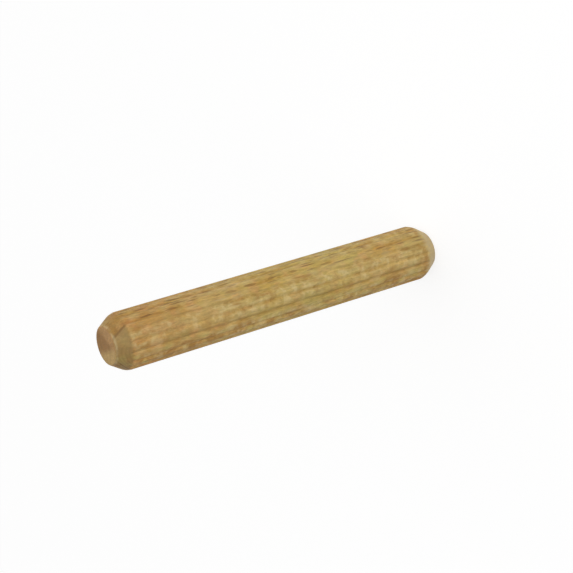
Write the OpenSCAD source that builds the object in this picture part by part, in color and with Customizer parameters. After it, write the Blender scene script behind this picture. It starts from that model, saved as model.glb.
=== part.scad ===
// Fluted wooden dowel pin: a turned rod with a tapered lead at each end
// and straight glue flutes pressed along its whole length.
// The pin stands on one end face: +Z is its axis and the origin is the centre of that face.

/* [Pin] */
// Diameter over the lands between the flutes, the size of the drilled hole
pin_d = 6; // [5:0.5:16]
// Length from end face to end face
pin_length = 40; // [25:1:120]

/* [Tapered ends] */
// Length of each taper along the axis
taper_length = 1.55; // [1:0.05:2.4]
// Diameter of the flat sawn face at each end
end_face_d = 4.0; // [3.2:0.1:4.4]
// Radius that rounds the shoulder between the taper and the shank
shoulder_r = 2.0; // [0.4:0.1:2.4]
// Angle of the faint crease that is left where the rounded shoulder meets the shank
shoulder_crease = 12; // [8:1:16]
// Radius between the taper and the end face
face_edge_r = 0.2; // [0.05:0.05:0.3]

/* [Flutes] */
// Number of flutes round the shank
flute_count = 17; // [8:1:20]
// Width of a flute at the surface
flute_width = 0.5; // [0.3:0.05:0.7]
// Depth of a flute below the surface
flute_depth = 0.15; // [0.08:0.01:0.18]

/* [Hidden] */

pin_r = pin_d / 2;
end_face_r = end_face_d / 2;
wood_colour = [0.68, 0.56, 0.36];
arc_steps = 4;

// Angle between the taper and the axis
taper_angle = atan2(pin_r - end_face_r, taper_length);

// Centre of the arc that touches both the end face and the taper
face_arc_x = end_face_r - face_edge_r * tan((90 - taper_angle) / 2);

// Centre of the shoulder's arc, which touches the taper and crosses the shank at the crease angle
shoulder_x = pin_r - shoulder_r * cos(shoulder_crease);
taper_run = (shoulder_x + shoulder_r * cos(taper_angle) - end_face_r) / sin(taper_angle);
shoulder_y = taper_run * cos(taper_angle) + shoulder_r * sin(taper_angle);

// How far the turned form stands clear of the shank between its ends
clear = 1;

// Circle that passes through both lips of a flute and its deepest point
lip_angle = flute_width / pin_d * 180 / PI;
flute_centre = flute_depth * (2 * pin_r - flute_depth)
    / (2 * (pin_r * cos(lip_angle) - pin_r + flute_depth));
flute_r = flute_centre - pin_r + flute_depth;

// Points along an arc from one slope to another, each slope measured from the pin's axis
function arc(x, y, r, from, to) = [
    for (i = [0 : arc_steps])
        let (slope = from + (to - from) * i / arc_steps)
        [x + r * cos(slope), y - r * sin(slope)]
];

// Outline of the lower end from the axis outwards, x from the axis and y along the pin
lower_end = concat(
    [[0, 0]],
    arc(face_arc_x, face_edge_r, face_edge_r, 90, taper_angle),
    arc(shoulder_x, shoulder_y, shoulder_r, taper_angle, 0),
    [[pin_r + clear, shoulder_y]]
);
upper_end = [for (i = [len(lower_end) - 1 : -1 : 0]) [lower_end[i][0], pin_length - lower_end[i][1]]];

// The turned form that shapes both ends of the bar, and stands clear of it in between
module turned_form() {
    rotate_extrude($fn = 72) polygon(concat(lower_end, upper_end));
}

// Cross-section of the shank: round lands with a rounded groove between each two, the first facing -Y
module fluted_section() {
    difference() {
        circle(r = pin_r, $fn = 180);
        for (i = [0 : flute_count - 1])
            rotate([0, 0, i * 360 / flute_count])
                translate([0, -flute_centre])
                    circle(r = flute_r, $fn = 24);
    }
}

// The flutes run straight from end to end and die out on the tapers
module dowel_pin() {
    color(wood_colour)
        intersection() {
            linear_extrude(pin_length) fluted_section();
            turned_form();
        }
}

dowel_pin();
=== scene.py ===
import math
from types import SimpleNamespace

import bpy
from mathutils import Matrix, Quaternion, Vector


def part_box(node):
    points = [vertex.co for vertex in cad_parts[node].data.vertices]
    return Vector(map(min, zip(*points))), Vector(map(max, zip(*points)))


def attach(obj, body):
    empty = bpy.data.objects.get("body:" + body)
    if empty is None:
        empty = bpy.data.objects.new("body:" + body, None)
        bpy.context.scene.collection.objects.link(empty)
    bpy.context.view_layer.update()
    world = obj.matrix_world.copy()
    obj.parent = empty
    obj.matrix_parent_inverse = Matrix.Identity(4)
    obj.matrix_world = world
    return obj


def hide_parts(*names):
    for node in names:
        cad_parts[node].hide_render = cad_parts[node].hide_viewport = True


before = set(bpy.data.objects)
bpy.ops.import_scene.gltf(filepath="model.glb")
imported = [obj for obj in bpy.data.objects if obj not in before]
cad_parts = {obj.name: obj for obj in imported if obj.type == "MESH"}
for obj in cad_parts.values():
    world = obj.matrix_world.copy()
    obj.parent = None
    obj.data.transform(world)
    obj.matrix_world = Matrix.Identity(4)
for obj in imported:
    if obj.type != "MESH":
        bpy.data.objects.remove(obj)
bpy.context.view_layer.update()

# ---------------------------------------------------------------- sizes, in metres

MM = 0.001

pin_low, pin_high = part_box("dowel_pin")
PIN_LENGTH = pin_high.z - pin_low.z
PIN_MIDDLE = Vector((0, 0, PIN_LENGTH / 2))
PIN_R = pin_high.y

# The tapered ends: a cone between a rounded shoulder, which leaves a faint crease, and an eased face edge
TAPER_LENGTH = 1.55 * MM
END_FACE_R = 2.0 * MM
SHOULDER_R = 2.0 * MM
SHOULDER_CREASE = math.radians(12)
FACE_EDGE_R = 0.2 * MM

# The glue flutes, pressed in by a toothed roller, so their lips are rounded over
FLUTE_COUNT = 17
FLUTE_DEPTH = 0.15 * MM
FLUTE_SPREAD = 0.7 * MM

# The wood, in millimetres. Heights are taken from the lower face, and BAND_PLACE is where the middle of one
# pale band lies across the rings.
TOP = PIN_LENGTH / MM
MIDDLE = TOP / 2
RING_WIDTH = 1.6
BAND_SPACING = 2.5
BAND_PLACE = 1.5

# How the wood lies in the pin, in degrees: the lean of its grain, and how far its ray sheets are turned
GRAIN_LEAN = (0.6, -0.5)
RAY_TURN = 21.0

# Which part of the wood the pin shows: where its growth rings begin, as a share of a ring, and how many
# millimetres the drawing of its rays is moved down
RING_PHASE = 0.41
RAYS_MOVED = 12

# The camera, in degrees round the middle of the pin, and where that middle lies beside the line of sight
CAMERA_LENS = 106.5
CAMERA_AZIMUTH = 9.05
CAMERA_ELEVATION = 30.18
CAMERA_ROLL = 106.8
CAMERA_DISTANCE = 177.66 * MM
PIN_LEFT_OF_SIGHT = 1.32 * MM
PIN_BELOW_SIGHT = 0.883 * MM
CLIP_START = 1 * MM
CLIP_END = 10


# ---------------------------------------------------------------- camera

def set_camera():
    """Looks down at the standing pin, rolled so that its top end lies to the left."""
    azimuth = math.radians(CAMERA_AZIMUTH)
    elevation = math.radians(CAMERA_ELEVATION)
    back = Vector((
        math.sin(azimuth) * math.cos(elevation),
        -math.cos(azimuth) * math.cos(elevation),
        math.sin(elevation),
    ))
    roll = Quaternion((0, 0, 1), -math.radians(CAMERA_ROLL))
    turn = back.to_track_quat("Z", "Y") @ roll
    right = turn @ Vector((1, 0, 0))
    up = turn @ Vector((0, 1, 0))

    bpy.ops.object.camera_add()
    camera = bpy.context.object
    camera.name = "camera"
    camera.data.lens = CAMERA_LENS
    camera.data.clip_start = CLIP_START
    camera.data.clip_end = CLIP_END
    camera.rotation_mode = "QUATERNION"
    camera.rotation_quaternion = turn
    camera.location = (
        PIN_MIDDLE + back * CAMERA_DISTANCE + right * PIN_LEFT_OF_SIGHT + up * PIN_BELOW_SIGHT
    )
    bpy.context.scene.camera = camera


# ---------------------------------------------------------------- materials

SMOOTH = {"interpolation_type": "SMOOTHSTEP"}
BLEND = {"data_type": "RGBA"}
STAIN = {"data_type": "RGBA", "blend_type": "MULTIPLY"}


def linear(hex_colour):
    """An sRGB hex colour as a linear colour with alpha."""
    channels = [int(hex_colour[i:i + 2], 16) / 255 for i in (0, 2, 4)]
    return tuple(c / 12.92 if c <= 0.04045 else ((c + 0.055) / 1.055) ** 2.4 for c in channels) + (1,)


def add(tree, kind, settings=None, give=0, **sockets):
    """Adds a node and gives one of its outputs, or the node itself where give is None.

    A socket is named, with underscores for spaces, or numbered after an underscore.
    It takes a value or another node's output.
    """
    node = tree.nodes.new(kind)
    for name, value in (settings or {}).items():
        setattr(node, name, value)
    for name, value in sockets.items():
        key = int(name[1:]) if name[0] == "_" else name.replace("_", " ")
        if isinstance(value, bpy.types.NodeSocket):
            tree.links.new(value, node.inputs[key])
        else:
            node.inputs[key].default_value = value
    return node if give is None else node.outputs[give]


def new_material(name):
    material = bpy.data.materials.new(name)
    material.use_nodes = True
    material.node_tree.nodes.clear()
    return material, material.node_tree


def apart(tree, value, centre):
    """How far a value lies from a centre, to either side."""
    offset = add(tree, "ShaderNodeMath", {"operation": "SUBTRACT"}, _0=value, _1=centre)
    return add(tree, "ShaderNodeMath", {"operation": "ABSOLUTE"}, _0=offset)


def patches(tree, place, per_mm, give=0, **noise):
    """Uneven patches: so many to a millimetre across the rings, across the rays and along the grain."""
    stretched = add(tree, "ShaderNodeVectorMath", {"operation": "MULTIPLY"}, _0=place, _1=per_mm)
    return add(tree, "ShaderNodeTexNoise", give=give, Vector=stretched, Scale=1, **noise)


def wood_places(tree):
    """The measures, in millimetres, and the parts of the pin that the layers of the wood are placed by."""
    wood = SimpleNamespace()
    metres = add(tree, "ShaderNodeTexCoord", give="Object")
    wood.pin_place = add(tree, "ShaderNodeVectorMath", {"operation": "SCALE"}, _0=metres, Scale=1 / MM)
    wood.height = add(tree, "ShaderNodeSeparateXYZ", give="Z", Vector=wood.pin_place)
    from_middle = apart(tree, wood.height, MIDDLE)
    wood.to_end = add(tree, "ShaderNodeMath", {"operation": "SUBTRACT"}, _0=MIDDLE, _1=from_middle)

    # X runs across the growth rings, Y across the ray sheets and Z along the grain, which sways a little
    turn = [math.radians(angle) for angle in (*GRAIN_LEAN, RAY_TURN)]
    straight = add(tree, "ShaderNodeMapping", Vector=wood.pin_place, Rotation=turn)
    sway = patches(tree, straight, (0.3, 0.3, 0.09), give="Color", Detail=4)
    wood.place = add(
        tree, "ShaderNodeVectorMath", {"operation": "MULTIPLY_ADD"}, _0=sway, _1=(0.7, 0.7, 0), _2=straight
    )
    wood.across_rings = add(tree, "ShaderNodeSeparateXYZ", give="X", Vector=wood.place)
    across_rays = add(tree, "ShaderNodeSeparateXYZ", give="Y", Vector=straight)
    wood.from_plane = add(tree, "ShaderNodeMath", {"operation": "ABSOLUTE"}, _0=across_rays)

    # The shank without its ends, and the sides of the pin that run along the ray sheets
    wood.on_shank = add(tree, "ShaderNodeMapRange", SMOOTH, Value=wood.to_end, _1=1.3, _2=1.8)
    wood.along_rays = add(tree, "ShaderNodeMapRange", SMOOTH, Value=wood.from_plane, _1=1.6, _2=2.5)

    # High up on those sides the patterns are quieter, and the flutes are painted lighter there
    high = add(tree, "ShaderNodeMapRange", SMOOTH, Value=wood.height, _1=TOP - 15, _2=TOP - 8)
    wood.quiet = add(tree, "ShaderNodeMath", {"operation": "MULTIPLY"}, _0=high, _1=wood.along_rays)
    wood.lively = add(tree, "ShaderNodeMapRange", Value=wood.quiet, _3=1, _4=0.7)
    return wood


def wood_patterns(tree, wood):
    """Adds the patterns that more than one layer shows."""
    # Pale bands, each with soft edges
    band = add(tree, "ShaderNodeMath", {"operation": "SUBTRACT"}, _0=wood.across_rings, _1=BAND_PLACE)
    band = add(tree, "ShaderNodeMath", {"operation": "PINGPONG"}, _0=band, _1=BAND_SPACING / 2)
    wood.band = add(tree, "ShaderNodeMapRange", SMOOTH, Value=band, _1=1.05, _2=0.5)

    # Fibres: streaks 0.15 mm across and about a millimetre long, and a finer grain of pores among them
    streaks = patches(tree, wood.place, (4.5, 4.5, 0.9), Detail=3, Roughness=0.65)
    streaks = add(tree, "ShaderNodeMapRange", Value=streaks, _1=0.3, _2=0.7, _3=0, _4=1)
    pores = patches(tree, wood.place, (8, 8, 3), Detail=2, Roughness=0.6)
    pores = add(tree, "ShaderNodeMapRange", Value=pores, _1=0.3, _2=0.7, _3=0, _4=1)
    wood.fibres = add(tree, "ShaderNodeMath", {"operation": "MULTIPLY_ADD"}, _0=pores, _1=0.5, _2=streaks)
    wood.shade = add(tree, "ShaderNodeMapRange", Value=wood.fibres, _1=0.3, _2=1.2, _3=0.815, _4=1.15)

    # Specks just over a millimetre across the rings, and less across the ray sheets and along the grain
    wood.specks = patches(tree, wood.place, (0.8, 1.6, 1.3), Detail=2, Roughness=0.6)


def plain_wood(tree, wood):
    """Patchy tan, yellower about the middle and redder towards the upper end."""
    patchy = patches(tree, wood.place, (0.35, 0.35, 0.2), Detail=2)
    patchy = add(tree, "ShaderNodeMapRange", Value=patchy, _1=0.35, _2=0.65, _3=0, _4=1)
    colour = add(tree, "ShaderNodeMix", BLEND, give=2, _0=patchy, _6=linear("C09649"), _7=linear("C0A762"))
    redder = add(
        tree, "ShaderNodeMapRange", SMOOTH, Value=wood.height, _1=MIDDLE, _2=TOP - 2, _3=0, _4=0.8
    )
    colour = add(tree, "ShaderNodeMix", BLEND, give=2, _0=redder, _6=colour, _7=linear("B58742"))
    yellower = apart(tree, wood.height, MIDDLE - 3)
    yellower = add(tree, "ShaderNodeMapRange", SMOOTH, Value=yellower, _1=11, _2=3, _3=0, _4=0.3)
    return add(tree, "ShaderNodeMix", BLEND, give=2, _0=yellower, _6=colour, _7=linear("B6A649"))


def mottling(tree, wood, colour):
    """Faint pink, olive and cream mottling, about a millimetre across."""
    mottles = patches(tree, wood.place, (1.0, 1.0, 0.8), give="Color", Detail=1)
    mottles = add(tree, "ShaderNodeSeparateColor", give=None, Color=mottles).outputs
    for channel, tint in (("Red", "CE9262"), ("Green", "B2A054"), ("Blue", "D2B67A")):
        amount = add(
            tree, "ShaderNodeMapRange", SMOOTH, Value=mottles[channel], _1=0.46, _2=0.72, _3=0, _4=0.33
        )
        colour = add(tree, "ShaderNodeMix", BLEND, give=2, _0=amount, _6=colour, _7=linear(tint))
    return colour


def growth_rings(tree, wood, colour):
    """Growth rings, each darkening slowly and then starting pale again."""
    rings = add(
        tree, "ShaderNodeMath", {"operation": "MULTIPLY_ADD"},
        _0=wood.across_rings, _1=1 / RING_WIDTH, _2=RING_PHASE,
    )
    rings = add(tree, "ShaderNodeMath", {"operation": "FRACT"}, _0=rings)
    late = add(tree, "ShaderNodeMapRange", SMOOTH, Value=rings, _1=0.2, _2=0.85)
    fresh = add(tree, "ShaderNodeMapRange", SMOOTH, Value=rings, _1=1, _2=0.93)
    late = add(tree, "ShaderNodeMath", {"operation": "MINIMUM"}, _0=late, _1=fresh)
    shade = add(tree, "ShaderNodeMapRange", Value=late, _3=1.06, _4=0.96)
    return add(tree, "ShaderNodeVectorMath", {"operation": "SCALE"}, _0=colour, Scale=shade)


def pale_bands(tree, wood, colour):
    """Paler bands through the wood, which fade towards the upper end."""
    amount = add(
        tree, "ShaderNodeMapRange", SMOOTH, Value=wood.height, _1=TOP - 10, _2=TOP - 2, _3=0.32, _4=0
    )
    amount = add(tree, "ShaderNodeMath", {"operation": "MULTIPLY"}, _0=wood.band, _1=amount)
    return add(tree, "ShaderNodeMix", BLEND, give=2, _0=amount, _6=colour, _7=linear("D2B774"))


def warm_side(tree, wood, colour):
    """One side of the pin is warmer, and a band of it has brown and yellow blotches 1 to 2 mm across."""
    warmer = add(tree, "ShaderNodeMapRange", SMOOTH, Value=wood.across_rings, _1=0.2, _2=-0.9)
    colour = add(tree, "ShaderNodeMix", STAIN, give=2, _0=warmer, _6=colour, _7=(1.06, 0.99, 0.87, 1))
    blotched = apart(tree, wood.across_rings, -0.95)
    blotched = add(tree, "ShaderNodeMapRange", SMOOTH, Value=blotched, _1=1.3, _2=0.5, _3=0, _4=0.9)
    blotches = patches(tree, wood.place, (0.9, 0.9, 0.6), Detail=1)
    for least, most, tint in ((0.55, 0.63, "A06C1C"), (0.47, 0.37, "CFBE70")):
        amount = add(tree, "ShaderNodeMapRange", SMOOTH, Value=blotches, _1=least, _2=most, _3=0, _4=0.6)
        amount = add(tree, "ShaderNodeMath", {"operation": "MULTIPLY"}, _0=amount, _1=blotched)
        colour = add(tree, "ShaderNodeMix", BLEND, give=2, _0=amount, _6=colour, _7=linear(tint))
    return colour


def fibres(tree, wood, colour):
    """The fibres and pores shade the wood."""
    return add(tree, "ShaderNodeVectorMath", {"operation": "SCALE"}, _0=colour, Scale=wood.shade)


def cross_bars(tree, wood, colour):
    """Short cream and brown bars across the grain in the pale bands."""
    barred = add(tree, "ShaderNodeMath", {"operation": "MULTIPLY"}, _0=wood.band, _1=wood.on_shank)
    barred = add(tree, "ShaderNodeMath", {"operation": "MULTIPLY"}, _0=barred, _1=wood.lively)
    for least, most, tint in ((0.5, 0.66, "E0CB92"), (0.47, 0.32, "A47A38")):
        amount = add(
            tree, "ShaderNodeMapRange", SMOOTH, Value=wood.specks, _1=least, _2=most, _3=0, _4=0.5
        )
        amount = add(tree, "ShaderNodeMath", {"operation": "MULTIPLY"}, _0=amount, _1=barred)
        colour = add(tree, "ShaderNodeMix", BLEND, give=2, _0=amount, _6=colour, _7=linear(tint))
    return colour


def ray_sheets(tree, wood, colour):
    """The rays on the shank: dark dashes where it cuts across them, broad flecks where it runs along them.

    Many are fine, some are middling and a few are large, about 0.2 mm thick and up to 2 mm tall.
    """
    shown = add(tree, "ShaderNodeMapRange", Value=wood.along_rays, _3=1, _4=0.6)
    shown = add(tree, "ShaderNodeMath", {"operation": "MULTIPLY"}, _0=shown, _1=wood.on_shank)
    shown = add(tree, "ShaderNodeMath", {"operation": "MULTIPLY"}, _0=shown, _1=wood.lively)
    moved = add(tree, "ShaderNodeVectorMath", {"operation": "ADD"}, _0=wood.place, _1=(0, 0, RAYS_MOVED))

    # Each ray lies in a cell: the cell's width and height in mm, the ray's reach in it, and its strength
    fine = (0.16, 1.4, 0.42, 0.25)
    middling = (0.27, 2.4, 0.36, 0.55)
    large = (0.46, 5.0, 0.22, 0.8)
    for cell_width, cell_height, reach, strength in (fine, middling, large):
        cells = add(
            tree, "ShaderNodeMapping", Vector=moved,
            Rotation=(0, math.radians(90), 0), Scale=(1, 1 / cell_width, 1 / cell_height),
        )
        cell = add(
            tree, "ShaderNodeTexVoronoi", {"distance": "MINKOWSKI", "voronoi_dimensions": "2D"}, give=None,
            Vector=cells, Scale=1, Exponent=1.35,
        )
        chance = add(tree, "ShaderNodeSeparateColor", give=None, Color=cell.outputs["Color"]).outputs
        size = add(tree, "ShaderNodeMapRange", Value=chance["Red"], _1=0.25, _2=0.75, _3=0, _4=reach)
        inside = add(
            tree, "ShaderNodeMath", {"operation": "SUBTRACT"}, _0=size, _1=cell.outputs["Distance"]
        )
        ray = add(tree, "ShaderNodeMapRange", SMOOTH, Value=inside, _1=-0.03, _2=0.1, _3=0, _4=strength)
        ray = add(tree, "ShaderNodeMath", {"operation": "MULTIPLY"}, _0=ray, _1=shown)
        pale = add(tree, "ShaderNodeMath", {"operation": "GREATER_THAN"}, _0=chance["Green"], _1=0.4)
        brown, cream = linear("AA7C38"), linear("DDC68A")
        fleck = add(tree, "ShaderNodeMix", BLEND, give=2, _0=pale, _6=brown, _7=cream)
        dash = linear("7E5A2A")
        tint = add(tree, "ShaderNodeMix", BLEND, give=2, _0=wood.along_rays, _6=dash, _7=fleck)
        colour = add(tree, "ShaderNodeMix", BLEND, give=2, _0=ray, _6=colour, _7=tint)
    return colour


def flute_browning_and_painted_shade(tree, wood, colour):
    """The pressed fibres in the flutes are browned in places, partly as painted shade in the grooves."""
    side = add(tree, "ShaderNodeSeparateXYZ", give=None, Vector=wood.pin_place).outputs
    flute = add(tree, "ShaderNodeMath", {"operation": "ARCTAN2"}, _0=side["Y"], _1=side["X"])
    flute = add(
        tree, "ShaderNodeMath", {"operation": "MULTIPLY_ADD"},
        _0=flute, _1=FLUTE_COUNT / (2 * math.pi), _2=FLUTE_COUNT / 4,
    )

    # How far it is to the nearest flute, as a share of the way from one to the next
    from_flute = add(tree, "ShaderNodeMath", {"operation": "PINGPONG"}, _0=flute, _1=0.5)
    pressed = add(tree, "ShaderNodeMapRange", SMOOTH, Value=from_flute, _1=0.3, _2=0)
    pressed = add(tree, "ShaderNodeMath", {"operation": "MULTIPLY"}, _0=pressed, _1=wood.on_shank)
    browned = patches(tree, wood.place, (0.6, 0.6, 0.3), Detail=2)
    browned = add(tree, "ShaderNodeMapRange", SMOOTH, Value=browned, _1=0.42, _2=0.62)
    browned = add(
        tree, "ShaderNodeMath", {"operation": "SUBTRACT", "use_clamp": True}, _0=browned, _1=wood.quiet
    )
    # Where the brown gives way, the flutes are painted lighter, which cancels the shade of the grooves
    pale, brown = (1.09, 1.09, 1.08, 1), (0.85, 0.76, 0.58, 1)
    flute_stain_and_painted_light = add(tree, "ShaderNodeMix", BLEND, give=2, _0=browned, _6=pale, _7=brown)
    return add(tree, "ShaderNodeMix", STAIN, give=2, _0=pressed, _6=colour, _7=flute_stain_and_painted_light)


def upper_taper(tree, wood, colour):
    """The upper taper is darker and more olive, and greyer away from the middle plane.

    The ray sheets it cuts lie round it as nested lines.
    """
    upper = add(tree, "ShaderNodeMapRange", SMOOTH, Value=wood.height, _1=TOP - 1.7, _2=TOP - 1.3)
    colour = add(tree, "ShaderNodeMix", STAIN, give=2, _0=upper, _6=colour, _7=(0.76, 0.73, 0.565, 1))
    greyer = add(tree, "ShaderNodeMapRange", SMOOTH, Value=wood.from_plane, _1=2.0, _2=2.2, _3=0, _4=0.45)
    greyer = add(tree, "ShaderNodeMath", {"operation": "MULTIPLY"}, _0=greyer, _1=upper)
    colour = add(tree, "ShaderNodeMix", BLEND, give=2, _0=greyer, _6=colour, _7=linear("9C8757"))

    # A thick line on both sides of the middle plane, and a second one outside it on one side of the pin
    thick = apart(tree, wood.from_plane, 2.02)
    thick = add(tree, "ShaderNodeMapRange", SMOOTH, Value=thick, _1=0.17, _2=0.03, _3=0, _4=0.72)
    second = apart(tree, wood.from_plane, 2.42)
    second = add(tree, "ShaderNodeMapRange", SMOOTH, Value=second, _1=0.12, _2=0.03, _3=0, _4=0.75)
    second_side = add(tree, "ShaderNodeMapRange", SMOOTH, Value=wood.across_rings, _1=-0.7, _2=-1.2)
    second = add(tree, "ShaderNodeMath", {"operation": "MULTIPLY"}, _0=second, _1=second_side)
    thick = add(tree, "ShaderNodeMath", {"operation": "MAXIMUM"}, _0=thick, _1=second)

    # Fine lines 0.21 mm apart, which stop short of the other side
    fine = add(tree, "ShaderNodeMath", {"operation": "PINGPONG"}, _0=wood.from_plane, _1=0.21 / 2)
    fine = add(tree, "ShaderNodeMapRange", SMOOTH, Value=fine, _1=0.03, _2=0.09, _3=0, _4=0.22)
    fine_side = add(tree, "ShaderNodeMapRange", SMOOTH, Value=wood.across_rings, _1=1.02, _2=0.86)
    fine = add(tree, "ShaderNodeMath", {"operation": "MULTIPLY"}, _0=fine, _1=fine_side)
    lines = add(tree, "ShaderNodeMath", {"operation": "MAXIMUM"}, _0=thick, _1=fine)
    lines = add(tree, "ShaderNodeMath", {"operation": "MULTIPLY"}, _0=lines, _1=upper)
    return add(tree, "ShaderNodeMix", BLEND, give=2, _0=lines, _6=colour, _7=linear("745726"))


def lower_taper(tree, wood, colour):
    """A painted reflection pales the lower taper; just above its shoulder the wood is browned in spots."""
    above = apart(tree, wood.height, 2.3)
    above = add(tree, "ShaderNodeMapRange", SMOOTH, Value=above, _1=0.9, _2=0.3)
    browned = add(tree, "ShaderNodeMapRange", SMOOTH, Value=wood.specks, _1=0.5, _2=0.42, _3=0, _4=0.4)
    browned = add(tree, "ShaderNodeMath", {"operation": "MULTIPLY"}, _0=above, _1=browned)
    colour = add(tree, "ShaderNodeMix", BLEND, give=2, _0=browned, _6=colour, _7=linear("B07F36"))

    # The painted reflection ends raggedly, along the fibres
    ragged = add(
        tree, "ShaderNodeMath", {"operation": "MULTIPLY_ADD"}, _0=wood.fibres, _1=0.6, _2=wood.height
    )
    lower = add(tree, "ShaderNodeMapRange", SMOOTH, Value=ragged, _1=2.5, _2=1.5)
    grazing_reflection = add(
        tree, "ShaderNodeMapRange", SMOOTH, Value=wood.across_rings, _1=1.8, _2=-1, _3=0.45, _4=0.95
    )
    lower = add(tree, "ShaderNodeMath", {"operation": "MULTIPLY"}, _0=lower, _1=grazing_reflection)
    return add(tree, "ShaderNodeMix", BLEND, give=2, _0=lower, _6=colour, _7=linear("E5D0A4"))


def painted_edge_highlight(tree, wood, colour):
    """The eased edges of the faces carry a painted highlight, paler in patches."""
    edge = add(tree, "ShaderNodeMapRange", SMOOTH, Value=wood.to_end, _1=0.35, _2=0.1)
    edge_highlight = add(tree, "ShaderNodeMapRange", SMOOTH, Value=wood.specks, _1=0.35, _2=0.6, _3=0.05, _4=0.4)
    edge_highlight = add(tree, "ShaderNodeMath", {"operation": "MULTIPLY"}, _0=edge, _1=edge_highlight)
    return add(tree, "ShaderNodeMix", BLEND, give=2, _0=edge_highlight, _6=colour, _7=linear("DEC898"))


def sawn_faces(tree, wood, colour):
    """The sawn faces are brown across the middle, cream to one side of it and pinkish to the other."""
    end_grain = linear("8F611C")
    to_cream, to_pink = (-0.82, -0.57, 0), (0.94, -0.34, 0)
    for direction, least, most, tint in ((to_cream, 0, 1, "BE9B5B"), (to_pink, 0.5, 1.4, "B2854A")):
        amount = add(
            tree, "ShaderNodeVectorMath", {"operation": "DOT_PRODUCT"}, give="Value",
            _0=wood.place, _1=direction,
        )
        amount = add(tree, "ShaderNodeMapRange", SMOOTH, Value=amount, _1=least, _2=most)
        end_grain = add(tree, "ShaderNodeMix", BLEND, give=2, _0=amount, _6=end_grain, _7=linear(tint))
    shade = add(tree, "ShaderNodeMapRange", Value=wood.specks, _1=0.35, _2=0.65, _3=0.9, _4=1.08)
    shade = add(tree, "ShaderNodeMath", {"operation": "MULTIPLY"}, _0=shade, _1=wood.shade)
    end_grain = add(tree, "ShaderNodeVectorMath", {"operation": "SCALE"}, _0=end_grain, Scale=shade)
    sawn = add(tree, "ShaderNodeMapRange", SMOOTH, Value=wood.to_end, _1=0.07, _2=0.01, _3=0, _4=0.9)
    return add(tree, "ShaderNodeMix", BLEND, give=2, _0=sawn, _6=colour, _7=end_grain)


def beech_wood():
    """Beech, milled to a rod, fluted with a toothed roller and left bare.

    It is a close-grained, matt, pale tan wood. Its rays are thin sheets that stand across the growth rings.
    Cut across, they are the short dark dashes of beech. Where the side of the pin runs along them,
    they lie open as broad light and brown flecks.
    """
    material, tree = new_material("bare_beech")
    wood = wood_places(tree)
    wood_patterns(tree, wood)
    colour = plain_wood(tree, wood)
    layers = (
        mottling, growth_rings, pale_bands, warm_side, fibres, cross_bars, ray_sheets, flute_browning_and_painted_shade,
        upper_taper, lower_taper, painted_edge_highlight, sawn_faces,
    )

    # Each layer takes the colour of the wood so far and gives it back changed
    for layer in layers:
        colour = layer(tree, wood, colour)

    # The fibres stand a few hundredths of a millimetre proud
    relief = add(tree, "ShaderNodeBump", Strength=1, Distance=0.02 * MM, Height=wood.fibres)
    shader = add(
        tree, "ShaderNodeBsdfPrincipled", Base_Color=colour, Roughness=0.62, IOR=1.5, Normal=relief,
    )
    add(tree, "ShaderNodeOutputMaterial", give=None, Surface=shader)
    return material


# ---------------------------------------------------------------- the pin

# How finely the mesh is divided, round the pin, along the shank and down each part of an end
COLUMNS_PER_FLUTE = 16
COLUMNS = FLUTE_COUNT * COLUMNS_PER_FLUTE
COLUMN_TURN = 2 * math.pi / COLUMNS
SHANK_CUTS = 220
SHOULDER_STEPS = 8
CONE_STEPS = 10
EDGE_STEPS = 5
FACE_STEPS = 14

# Points this near to a height lie at it, and edges that turn more than this stay sharp
SAME_HEIGHT = 0.001 * MM
SHARP_TURN = math.radians(35)


def select_where(mesh, parts, wanted):
    """In edit mode, selects only the vertices or edges that pass a test."""
    bpy.ops.mesh.select_all(action="DESELECT")
    bpy.ops.object.mode_set(mode="OBJECT")
    for part in getattr(mesh, parts):
        part.select = wanted(part)
    bpy.ops.object.mode_set(mode="EDIT")


def end_profile():
    """Radius and height of each ring from the shank down to the middle of the lower face."""
    slope = math.atan2(PIN_R - END_FACE_R, TAPER_LENGTH)
    shoulder_x = PIN_R - SHOULDER_R * math.cos(SHOULDER_CREASE)
    run = (shoulder_x + SHOULDER_R * math.cos(slope) - END_FACE_R) / math.sin(slope)
    shoulder_z = run * math.cos(slope) + SHOULDER_R * math.sin(slope)
    face_x = END_FACE_R - FACE_EDGE_R * math.tan((math.pi / 2 - slope) / 2)

    def arc(x, z, r, start, stop, steps):
        turns = [start + (stop - start) * i / steps for i in range(steps + 1)]
        return [(x + r * math.cos(turn), z - r * math.sin(turn)) for turn in turns]

    shoulder = arc(shoulder_x, shoulder_z, SHOULDER_R, SHOULDER_CREASE, slope, SHOULDER_STEPS)
    edge = arc(face_x, FACE_EDGE_R, FACE_EDGE_R, slope, math.pi / 2, EDGE_STEPS)
    (top_r, top_z), (low_r, low_z) = shoulder[-1], edge[0]
    shares = [i / CONE_STEPS for i in range(1, CONE_STEPS)]
    cone = [(top_r + (low_r - top_r) * share, top_z + (low_z - top_z) * share) for share in shares]
    face = [(face_x * i / FACE_STEPS, 0) for i in range(FACE_STEPS - 1, 0, -1)]
    return shoulder + cone + edge + face


def draw_in_end(mesh, profile, lower):
    """Extrudes one open end ring by ring to the taper and the face, and closes it."""
    shank_z = profile[0][1]
    end_z = shank_z if lower else PIN_LENGTH - shank_z
    select_where(mesh, "vertices", lambda vertex: abs(vertex.co.z - end_z) < SAME_HEIGHT)
    for (r, z), (next_r, next_z) in zip(profile, profile[1:]):
        step = next_z - z if lower else z - next_z
        bpy.ops.mesh.extrude_edges_move(TRANSFORM_OT_translate={"value": (0, 0, step)})
        bpy.ops.transform.resize(value=(next_r / r, next_r / r, 1), center_override=(0, 0, 0))
    bpy.ops.mesh.merge(type="CENTER")


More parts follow.
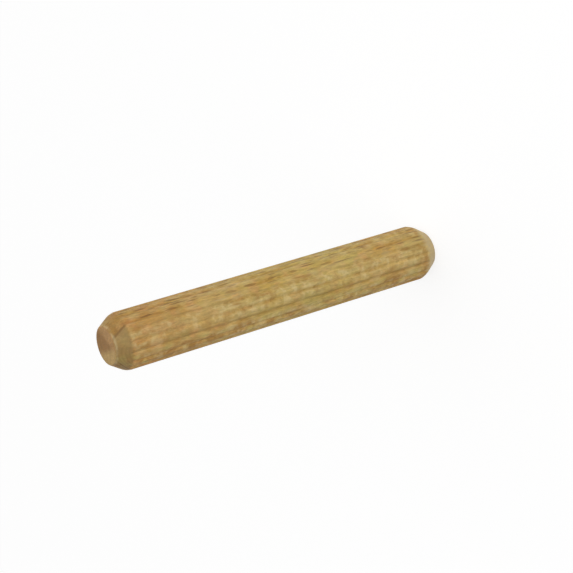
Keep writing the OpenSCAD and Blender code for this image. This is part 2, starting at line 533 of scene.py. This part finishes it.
def press_flutes(mesh, profile):
    """Draws each flute's columns in to its curve, on the shank and where it runs out on the shoulders."""
    width = COLUMN_TURN * PIN_R
    half_spread = FLUTE_SPREAD / 2
    rings = [(r, z) for r, z in profile if r > PIN_R - FLUTE_DEPTH]
    for step in range(math.ceil(half_spread / width)):
        depth_share = 0.5 + 0.5 * math.cos(math.pi * step * width / half_spread)
        flute_r = PIN_R - FLUTE_DEPTH * depth_share
        for r, z in rings:
            if r <= flute_r:
                continue

            def in_flute(vertex):
                turn = math.atan2(vertex.co.y, vertex.co.x) + math.pi / 2
                offset = round(turn / COLUMN_TURN) % COLUMNS_PER_FLUTE
                from_end = min(vertex.co.z, PIN_LENGTH - vertex.co.z)
                return offset in (step, COLUMNS_PER_FLUTE - step) and abs(from_end - z) < SAME_HEIGHT

            select_where(mesh, "vertices", in_flute)
            bpy.ops.transform.resize(value=(flute_r / r, flute_r / r, 1), center_override=(0, 0, 0))


def turn_pin():
    """The whole pin: a tube drawn in to its two ends, then fluted and divided along its length."""
    profile = end_profile()
    shank_z = profile[0][1]
    bpy.ops.mesh.primitive_cylinder_add(
        vertices=COLUMNS, radius=PIN_R, depth=PIN_LENGTH - 2 * shank_z,
        end_fill_type="NOTHING", location=(0, 0, PIN_LENGTH / 2),
    )
    pin = bpy.context.object
    pin.name = "beech_pin"
    bpy.ops.object.transform_apply(location=True, rotation=True, scale=True)
    mesh = pin.data
    bpy.ops.object.mode_set(mode="EDIT")
    bpy.ops.mesh.select_mode(type="VERT")
    draw_in_end(mesh, profile, lower=True)
    draw_in_end(mesh, profile, lower=False)
    press_flutes(mesh, profile)

    def runs_along_shank(edge):
        ends = [mesh.vertices[i].co.z for i in edge.vertices]
        return abs(ends[0] - ends[1]) > PIN_LENGTH / 2

    bpy.ops.mesh.select_mode(type="EDGE")
    select_where(mesh, "edges", runs_along_shank)
    bpy.ops.mesh.subdivide(number_cuts=SHANK_CUTS)
    bpy.ops.mesh.select_all(action="SELECT")
    bpy.ops.mesh.normals_make_consistent(inside=False)
    bpy.ops.object.mode_set(mode="OBJECT")
    bpy.ops.object.shade_smooth_by_angle(angle=SHARP_TURN)
    return pin


# ---------------------------------------------------------------- floor and light

# The camera sees the floor lit a little, so that it takes a faint shadow, and glowing for the rest of its
# white. BOUNCE is the share of light that it throws back on to the pin.
FLOOR_SIZE = 4
LIT_SHARE = 0.25
GLOW = 0.82
BOUNCE = 0.8

# The room's strength on its dim side and on its bright one, and the X of the direction where each gives way
DIM = 0.05
BRIGHT = 0.88
DIM_TO = -0.75
BRIGHT_FROM = 0.2

LAMP_PLACE = Vector((0.06, -0.36, 0.2))
LAMP_SIZE = 0.5
LAMP_WATTS = 0.5


def seen_directly(tree):
    """One for what the camera sees, also mirrored or through a clear thing, and zero for other light."""
    path = add(tree, "ShaderNodeLightPath", give=None).outputs
    larger = {"operation": "MAXIMUM"}
    seen = add(tree, "ShaderNodeMath", larger, _0=path["Is Camera Ray"], _1=path["Is Glossy Ray"])
    return add(tree, "ShaderNodeMath", larger, _0=seen, _1=path["Is Transmission Ray"])


def white_floor():
    """A plain white table that keeps a faint shadow."""
    bpy.ops.mesh.primitive_plane_add(size=FLOOR_SIZE, location=(0, 0, 0))
    floor = bpy.context.object
    floor.name = "floor"
    material, tree = new_material("white_table")
    bounced = add(tree, "ShaderNodeBsdfDiffuse", Color=(BOUNCE, BOUNCE, BOUNCE, 1))
    lit = add(tree, "ShaderNodeBsdfDiffuse", Color=(LIT_SHARE, LIT_SHARE, LIT_SHARE, 1))
    glow = add(tree, "ShaderNodeEmission", Color=(1, 1, 1, 1), Strength=GLOW)
    shown = add(tree, "ShaderNodeAddShader", _0=lit, _1=glow)
    surface = add(tree, "ShaderNodeMixShader", _0=seen_directly(tree), _1=bounced, _2=shown)
    add(tree, "ShaderNodeOutputMaterial", give=None, Surface=surface)
    floor.data.materials.append(material)


def studio_light():
    """A room that looks white and lights the pin less from one side, and a large soft lamp before it."""
    world = bpy.data.worlds.new("white_room")
    world.use_nodes = True
    bpy.context.scene.world = world
    tree = world.node_tree
    tree.nodes.clear()
    outward = add(tree, "ShaderNodeTexCoord", give="Generated")
    side = add(tree, "ShaderNodeSeparateXYZ", give="X", Vector=outward)
    level = add(
        tree, "ShaderNodeMapRange", SMOOTH, Value=side, _1=DIM_TO, _2=BRIGHT_FROM, _3=DIM, _4=BRIGHT,
    )
    level = add(tree, "ShaderNodeMath", {"operation": "MAXIMUM"}, _0=level, _1=seen_directly(tree))
    room = add(tree, "ShaderNodeBackground", Color=(1, 1, 1, 1), Strength=level)
    add(tree, "ShaderNodeOutputWorld", give=None, Surface=room)

    bpy.ops.object.light_add(type="AREA", location=LAMP_PLACE)
    lamp = bpy.context.object
    lamp.name = "soft_lamp"
    lamp.data.size = LAMP_SIZE
    lamp.data.energy = LAMP_WATTS
    lamp.rotation_euler = (PIN_MIDDLE - LAMP_PLACE).to_track_quat("-Z", "Y").to_euler()


bpy.ops.object.select_all(action="DESELECT")
set_camera()
studio_light()
white_floor()
pin = turn_pin()
pin.data.materials.append(beech_wood())
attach(pin, "root")
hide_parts("dowel_pin")

bpy.context.scene.view_settings.view_transform = "Standard"
